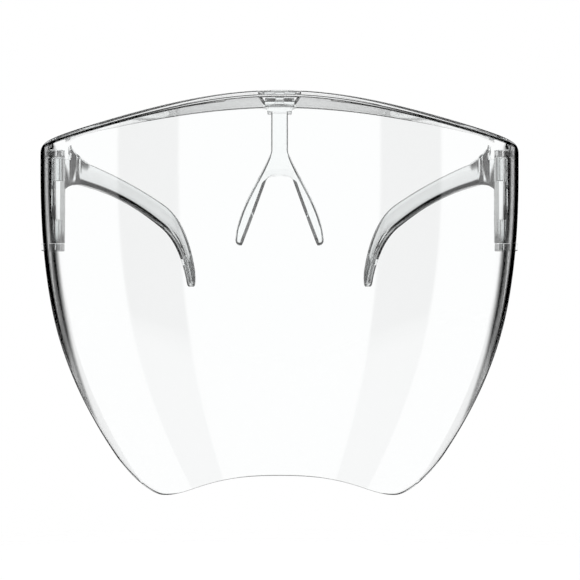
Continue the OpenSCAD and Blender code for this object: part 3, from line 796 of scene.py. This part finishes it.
class TempleForm:
    """The arm's plan and side view. In the side view a gentle bow runs into the ear hook, and
    points lie at centre + (radius + offset) * (sin angle, cos angle)."""

    def __init__(self, sizes):
        self.sizes = sizes
        self.middle = LEG_TOP - sizes.arm_height / 2
        self.under = self.middle - sizes.arm_height / 2
        run = PIN_Y + ARM_REACH - ELBOW[1]
        slope, end = math.radians(ARM_SLOPE), math.radians(HOOK_ANGLE)
        bow = run - sizes.hook_radius * (math.sin(end) - math.sin(slope))
        self.bow_radius = bow / math.sin(slope)
        self.bow_centre = np.array([ELBOW[1], self.middle - self.bow_radius])
        self.hook_centre = self.bow_centre + (self.bow_radius - sizes.hook_radius) * np.array(
            [math.sin(slope), math.cos(slope)])
        self.ease_y = ELBOW[1] + run * STRAIGHT_SHARE
        self.seam = HOOK_ANGLE - math.degrees(
            (sizes.sleeve_length - sizes.arm_height / 2) / sizes.hook_radius)

    def plan(self, y):
        """The arm's x over y: the greater of the web's line and the arm's, eased where they
        cross, with a circle's first rise added over the ear."""
        web = ELBOW[0] - (y - ELBOW[1]) * (PIN_X - ELBOW[0]) / (ELBOW[1] - PIN_Y)
        arm = ELBOW[0] - (y - ELBOW[1]) * TOE_IN
        return ((web + arm) / 2 + np.sqrt(((web - arm) / 2) ** 2 + ELBOW_EASE ** 2)
                + np.maximum(0, y - self.ease_y) ** 2 / 2 / EASE_RADIUS)

    def arc(self, degrees, offset):
        """A point of the side view, on the bow up to the slope's angle and on the hook after."""
        turn = np.radians(degrees)
        hook = np.asarray(degrees) > ARM_SLOPE
        centre = np.where(hook[:, None], self.hook_centre, self.bow_centre)
        radius = np.where(hook, self.sizes.hook_radius, self.bow_radius) + offset
        return centre + radius[:, None] * np.stack([np.sin(turn), np.cos(turn)], -1)

    def rows(self, lower, upper, thickness):
        """Rows of middle, upward direction, half height and half thickness between two lines."""
        up = upper - lower
        tall = np.linalg.norm(up, axis=1)
        return np.column_stack([(lower + upper) / 2, up / tall[:, None], tall / 2,
                                np.full(len(tall), thickness / 2)])

    def web_rows(self):
        """From the barrel to past the rise: the arch's quarter circle below; above, the leg's
        top, the rise, and its fall back to the arm in slopes that ease off."""
        sizes = self.sizes
        radius = sizes.arch_radius
        start = PIN_Y + WEB_START
        rise_y = PIN_Y + sizes.lug_radius + RISE_BACK
        turn = np.radians(np.linspace(0, 90, ARCH_STEPS))
        arch_y = start + radius * (1 - np.cos(turn))
        arch_z = self.under - ARCH_CROWN - radius * (1 - np.sin(turn))
        fall = rise_y + FALL_START + FALL_RUN
        fall_z = LEG_TOP + sizes.rise_height * FALL_SHARE
        y = np.unique(np.concatenate([arch_y[arch_y < ELBOW[1]], [rise_y], fall,
                                      np.linspace(ELBOW[1], fall[-1], WEB_STEPS)]))
        bow = np.degrees(np.arcsin(np.maximum(0, y - ELBOW[1]) / self.bow_radius))
        arm_top = self.arc(bow, self.half_height(bow))[:, 1]
        arm_low = self.arc(bow, -self.half_height(bow))[:, 1]
        low = np.minimum(np.interp(y, arch_y, arch_z), arm_low)
        low = np.where(y < arch_y[-1], low, arm_low)
        top = np.interp(y, np.concatenate([[start, rise_y], fall]),
                        np.concatenate([[LEG_TOP, LEG_TOP], fall_z]))
        return self.rows(np.column_stack([y, low]),
                         np.column_stack([y, np.maximum(top, np.where(y < ELBOW[1], 0, arm_top))]),
                         sizes.arm_thickness)

    def half_height(self, degrees):
        """Half the arm's height: a sine's dip along the bow, and even along the hook."""
        share = np.clip(np.asarray(degrees) / ARM_SLOPE, 0, 1)
        return (self.sizes.arm_height - self.sizes.arm_waist * np.sin(np.pi * share)) / 2

    def arm_rows(self, start, end, steps, inset=0.0, thinner=0.0):
        """Rows along the bow and the hook, between two angles."""
        degrees = np.linspace(start, end, steps)
        half = self.half_height(degrees) - inset
        return self.rows(self.arc(degrees, -half), self.arc(degrees, half),
                         self.sizes.arm_thickness - thinner)

    def cap_rows(self, inset=0.0, thinner=0.0):
        """The hook's round end: rows that step on by a sine and shrink by a cosine."""
        turn = np.radians(np.linspace(*CAP_TURN, CAP_ROWS))
        end = np.radians(HOOK_ANGLE)
        radius = self.sizes.arm_height / 2 - inset
        ahead = np.array([math.cos(end), -math.sin(end)])
        middle = self.arc(np.full(CAP_ROWS, float(HOOK_ANGLE)), np.zeros(CAP_ROWS))
        middle = middle + radius * np.sin(turn)[:, None] * ahead
        up = np.tile([math.sin(end), math.cos(end)], (CAP_ROWS, 1))
        half = (self.sizes.arm_thickness - thinner) / 2
        return np.column_stack([middle, up, radius * np.cos(turn),
                                np.full(CAP_ROWS, half)])

    def carried(self, name, rows, radius):
        """A body through rows: each row's rounded rectangle stands on the plan's line, across
        it by the line's own normal."""
        ring = section(rows[:, 5], rows[:, 4], radius)
        side = rows[:, None, :2] + ring[..., 1:] * rows[:, None, 2:4]
        y, step = side[..., 0], 0.01
        slope = (self.plan(y + step) - self.plan(y - step)) / (2 * step)
        normal = 1 / np.sqrt(1 + slope ** 2)
        return tube(name, np.stack([self.plan(y) + ring[..., 0] * normal,
                                    y - ring[..., 0] * normal * slope, side[..., 1]], -1))


def barrel_mesh(sizes):
    """The hinge leg: an eight-sided post with a blind pin bore in each end."""
    bottom = LEG_TOP - sizes.leg_height
    bore = sizes.pin_diameter / 2 + PIN_GAP
    depth = float(UPPER_PIN_HIGH[2] - UPPER_PIN_LOW[2]) - sizes.lug_height - LUG_GAP + PIN_GAP
    turn = np.radians(np.arange(8) * 45 + OCTAGON_TURN)
    corner = sizes.lug_radius / math.cos(math.radians(OCTAGON_TURN))
    outline = np.array([PIN_X, PIN_Y]) + corner * np.stack([np.cos(turn), np.sin(turn)], 1)
    bores = []
    for low, high in ((bottom - BORE_OVERRUN, bottom + depth),
                      (LEG_TOP - depth, LEG_TOP + BORE_OVERRUN)):
        bores.append(turned("bore", [[bore, low], [bore, high]], (PIN_X, PIN_Y)))
    post = plate("barrel", outline, bottom, LEG_TOP, BARREL_CHAMFER)
    return moulded("barrel", post, cut=[together("bores", bores)])


def temple_mesh(sizes):
    """A temple: barrel, web with arch and rise, arm, ear hook, and the tang inside the sleeve."""
    form = TempleForm(sizes)
    web = form.web_rows()
    reach = math.degrees(math.asin((web[-1, 0] - ELBOW[1]) / form.bow_radius))
    inset = {"inset": sizes.tang_step, "thinner": 2 * sizes.sleeve_wall}
    rows = np.concatenate([web, form.arm_rows(reach + BOW_GAP, ARM_SLOPE, BOW_ROWS),
                           form.arm_rows(ARM_SLOPE + HOOK_GAP, form.seam, HOOK_ROWS),
                           form.arm_rows(form.seam, HOOK_ANGLE, TANG_ROWS, **inset),
                           form.cap_rows(**inset)])
    return moulded("temple", barrel_mesh(sizes), [form.carried("arm", rows, ARM_ROUND)])


def sleeve_mesh(sizes):
    """A sleeve: the arm's own shape beyond the seam, with a pocket that clears the tang."""
    form = TempleForm(sizes)
    start = form.seam + math.degrees(SEAM_GAP / sizes.hook_radius)
    pocket = {"inset": sizes.tang_step - SEAM_GAP, "thinner": 2 * (sizes.sleeve_wall - SEAM_GAP)}
    outside = np.concatenate([form.arm_rows(start, HOOK_ANGLE, SLEEVE_ROWS), form.cap_rows()])
    inside = np.concatenate([form.arm_rows(start, HOOK_ANGLE, SLEEVE_ROWS, **pocket),
                             form.cap_rows(**pocket)])
    return form.carried("sleeve", np.concatenate([outside[::-1], inside]), ARM_ROUND)


class SHIELD_OT_temples(bpy.types.Operator):
    """Adds both folding temples"""

    bl_idname = "shield.temples"
    bl_label = "Temples"

    def execute(self, context):
        left = temple_mesh(in_millimetres(context.scene.shield_sizes))
        for side, mesh in (("left", left), ("right", mirrored(left))):
            finish_piece(f"temple_{side}_arm", mesh,
                         arm_polycarbonate(context.scene.shield_finish), f"{side}_arm",
                         f"temple_{side}")
        return {"FINISHED"}


class SHIELD_OT_sleeves(bpy.types.Operator):
    """Adds the soft sleeve on the end of each ear hook"""

    bl_idname = "shield.sleeves"
    bl_label = "Tip sleeves"

    def execute(self, context):
        left = sleeve_mesh(in_millimetres(context.scene.shield_sizes))
        for side, mesh in (("left", left), ("right", mirrored(left))):
            finish_piece(f"sleeve_{side}", mesh, clear_elastomer(context.scene.shield_finish),
                         f"{side}_arm", f"tip_sleeve_{side}")
        return {"FINISHED"}


# ---- Hinge pins ----

PIN_EASE = 0.04         # how much slimmer a pin is than its bore in the lug
PIN_CHAMFER = 0.3


class SHIELD_OT_pins(bpy.types.Operator):
    """Adds the four hinge pins"""

    bl_idname = "shield.pins"
    bl_label = "Hinge pins"

    def execute(self, context):
        sizes = in_millimetres(context.scene.shield_sizes)
        radius = sizes.pin_diameter / 2 - PIN_EASE
        for side, sign in (("left", 1), ("right", -1)):
            for level in ("upper", "lower"):
                node = f"hinge_pin_{level}_{side}"
                low, high = (float(corner[2]) for corner in node_box(node))
                profile = [[radius - PIN_CHAMFER, low], [radius, low + PIN_CHAMFER],
                           [radius, high - PIN_CHAMFER], [radius - PIN_CHAMFER, high]]
                mesh = turned(node, profile, (sign * PIN_X, PIN_Y))
                body = next(name for name, nodes in frame["record"]["behaviour"]["bodies"].items()
                            if node in nodes)
                finish_piece(f"pin_{level}_{side}", mesh, clear_nylon(context.scene.shield_finish),
                             body, node)
        return {"FINISHED"}


# ---- Stage ----

CAMERA_PLACE = (0, -0.5717, -0.0717)
CAMERA_TILT = 3.16      # degrees that the camera looks up
CAMERA_LENS = 89.75
CAMERA_SHIFT = (0.018, 0.05)
CAMERA_NEAR = 0.01
FLOOR_DROP = 0.39       # metres from the chin to the floor, as the shield hangs in the air
FLOOR_GLOW = 0.8        # light that comes up through the floor, as on a light table
FLOOR_REACH = 4.2       # metres from the middle of the round floor to its rim
FLOOR_FADE = 2.8        # metres from the middle at which it starts to fade out
CARD_LOW, CARD_HIGH = (-0.3, 0.85), (0.3, 2.2)     # corners of the grey card on the floor
CARD_LIFT = 0.002
# Light round the tent over degrees from straight behind the shield: a lit backdrop, a black flag,
# a half-lit gap, a second black flag, the lit side, and a black flag in front of each side
TENT = ((0, 1), (11.2, 1), (12.4, 0), (38, 0), (39.5, 0.4), (48.5, 0.4), (50, 0), (62, 0),
        (63.2, 1), (117.8, 1), (119, 0), (145, 0), (146.2, 1), (180, 1))
CANOPY = (13.5, 15, 60, 70)     # degrees of height over which the dark canopy closes and opens
OVERHEAD = (55, 75)     # degrees of height over which the overhead softbox takes over
BLACK, WHITE = (0, 0, 0, 1), (1, 1, 1, 1)


def world_light(world):
    """A bright tent with three pairs of tall black flags and a black canopy under an overhead
    softbox, so that clear edges read dark. The camera itself sees a white backdrop."""
    world.use_nodes = True
    tree = world.node_tree
    tree.nodes.clear()
    toward = add_node(tree, "ShaderNodeTexCoord").outputs["Generated"]
    axes = add_node(tree, "ShaderNodeSeparateXYZ", links={0: toward}).outputs
    aside = add_node(tree, "ShaderNodeMath", {"operation": "ABSOLUTE"}, {0: axes[0]})
    around = add_node(tree, "ShaderNodeMath", {"operation": "ARCTAN2"}, {
        0: aside.outputs[0], 1: axes[1]})
    half_turns = add_node(tree, "ShaderNodeMath", {"operation": "DIVIDE"}, {
        0: around.outputs[0], 1: math.pi})
    flags = add_node(tree, "ShaderNodeValToRGB", links={0: half_turns.outputs[0]})
    stops = flags.color_ramp.elements
    stops.remove(stops[1])
    for index, (degrees, light) in enumerate(TENT):
        stop = stops.new(degrees / 180) if index else stops[0]
        stop.color = (light, light, light, 1)
    height = add_node(tree, "ShaderNodeMath", {"operation": "ARCSINE"}, {0: axes[2]}).outputs[0]
    start, full, clear, end = np.radians(CANOPY)
    entering = add_node(tree, "ShaderNodeMapRange", links={
        "Value": height, "From Min": start, "From Max": full})
    leaving = add_node(tree, "ShaderNodeMapRange", links={
        "Value": height, "From Min": end, "From Max": clear})
    canopy = add_node(tree, "ShaderNodeMath", {"operation": "MULTIPLY"}, {
        0: entering.outputs["Result"], 1: leaving.outputs["Result"]})
    walls = add_node(tree, "ShaderNodeMix", {"data_type": "RGBA"}, {
        "Factor": canopy.outputs[0], 6: flags.outputs["Color"], 7: BLACK})
    low, high = np.radians(OVERHEAD)
    overhead = add_node(tree, "ShaderNodeMapRange", links={
        "Value": height, "From Min": low, "From Max": high})
    tent = add_node(tree, "ShaderNodeMix", {"data_type": "RGBA"}, {
        "Factor": overhead.outputs["Result"], 6: walls.outputs[2], 7: WHITE})
    path = add_node(tree, "ShaderNodeLightPath")
    seen = add_node(tree, "ShaderNodeMix", {"data_type": "RGBA"}, {
        "Factor": path.outputs["Is Camera Ray"], 6: tent.outputs[2], 7: WHITE})
    background = add_node(tree, "ShaderNodeBackground", links={"Color": seen.outputs[2]})
    add_node(tree, "ShaderNodeOutputWorld", links={0: background.outputs[0]})


def matt_material(name, colour):
    """A matt white or grey surface, and its main shader."""
    material = bpy.data.materials.new(name)
    material.use_nodes = True
    surface = material.node_tree.nodes["Principled BSDF"]
    surface.inputs["Base Color"].default_value = colour
    surface.inputs["Roughness"].default_value = 1.0
    return material, surface


def light_table(colour, height):
    """The floor's opal glass lit from below: matt, glowing, and fading out towards its rim."""
    material, surface = matt_material("opal_glass_light_table", colour)
    surface.inputs["Specular IOR Level"].default_value = 0.0
    surface.inputs["Emission Color"].default_value = WHITE
    surface.inputs["Emission Strength"].default_value = FLOOR_GLOW
    tree = material.node_tree
    place = add_node(tree, "ShaderNodeTexCoord").outputs["Object"]
    reach = add_node(tree, "ShaderNodeVectorMath", {"operation": "DISTANCE"}, {
        0: place, 1: (0, 0, height)})
    fade = add_node(tree, "ShaderNodeMapRange", links={
        "Value": reach.outputs["Value"], "From Min": FLOOR_FADE, "From Max": FLOOR_REACH})
    clear = add_node(tree, "ShaderNodeBsdfTransparent")
    mixed = add_node(tree, "ShaderNodeMixShader", links={
        0: fade.outputs["Result"], 1: surface.outputs[0], 2: clear.outputs[0]})
    tree.links.new(mixed.outputs[0], tree.nodes["Material Output"].inputs["Surface"])
    return material


def flat_face(name, outline, height, material):
    """A stage object of one flat face, from its outline in metres."""
    outline = np.asarray(outline, float)
    mesh = bpy.data.meshes.new(name)
    mesh.from_pydata(np.column_stack([outline, np.full(len(outline), height)]).tolist(), [],
                     [list(range(len(outline)))])
    mesh.materials.append(material)
    face = new_object(name, mesh)
    return face


class SHIELD_OT_stage(bpy.types.Operator):
    """Adds the pale floor with its grey card, the light tent and the camera"""

    bl_idname = "shield.stage"
    bl_label = "Stage"

    def execute(self, context):
        scene = context.scene
        scene.world = bpy.data.worlds.new("light_tent")
        world_light(scene.world)
        scene.view_settings.view_transform = "Standard"

        height = CAD_BOX[0][2] - FLOOR_DROP
        turn = np.radians(np.arange(0, 360, 2))
        rim = FLOOR_REACH * np.stack([np.cos(turn), np.sin(turn)], 1)
        floor = flat_face("floor", rim, height, light_table(scene.shield_finish.floor, height))
        floor.visible_glossy = False
        card = flat_face("floor_card", box_outline(CARD_LOW[0], CARD_HIGH[0], CARD_LOW[1],
                                                   CARD_HIGH[1]),
                         height + CARD_LIFT, matt_material("grey_card",
                                                           scene.shield_finish.card)[0])
        card.visible_camera = False

        lens = bpy.data.cameras.new("camera")
        lens.lens = CAMERA_LENS
        lens.shift_x, lens.shift_y = CAMERA_SHIFT
        lens.clip_start = CAMERA_NEAR
        camera = new_object("camera", lens)
        camera.location = CAMERA_PLACE
        camera.rotation_euler = (math.radians(90 + CAMERA_TILT), 0, 0)
        scene.camera = camera
        return {"FINISHED"}


# ---- Add-on ----

OPERATORS = (SHIELD_OT_stage, SHIELD_OT_visor, SHIELD_OT_nose_bracket, SHIELD_OT_temples,
             SHIELD_OT_sleeves, SHIELD_OT_pins)


class SHIELD_PT_panel(bpy.types.Panel):
    """Lists the shield's pieces in the sidebar"""

    bl_idname = "SHIELD_PT_panel"
    bl_label = "Face Shield"
    bl_space_type = "VIEW_3D"
    bl_region_type = "UI"
    bl_category = "Face Shield"

    def draw(self, context):
        for operator in OPERATORS:
            self.layout.operator(operator.bl_idname)
        for group in (context.scene.shield_sizes, context.scene.shield_finish):
            for key in group.__annotations__:
                self.layout.prop(group, key)


CLASSES = (ShieldSizes, ShieldFinish, *OPERATORS, SHIELD_PT_panel)


def register():
    """Registers the classes and hangs the sizes and colours on the scene."""
    for cls in CLASSES:
        bpy.utils.register_class(cls)
    bpy.types.Scene.shield_sizes = PointerProperty(type=ShieldSizes)
    bpy.types.Scene.shield_finish = PointerProperty(type=ShieldFinish)


def unregister():
    """Takes away what register added."""
    del bpy.types.Scene.shield_finish
    del bpy.types.Scene.shield_sizes
    for cls in reversed(CLASSES):
        bpy.utils.unregister_class(cls)


def main():
    """Builds the stage and every piece."""
    register()
    bpy.ops.shield.stage()
    bpy.ops.shield.visor()
    bpy.ops.shield.nose_bracket()
    bpy.ops.shield.temples()
    bpy.ops.shield.sleeves()
    bpy.ops.shield.pins()
    bpy.context.view_layer.update()


if __name__ == "__main__":
    main()
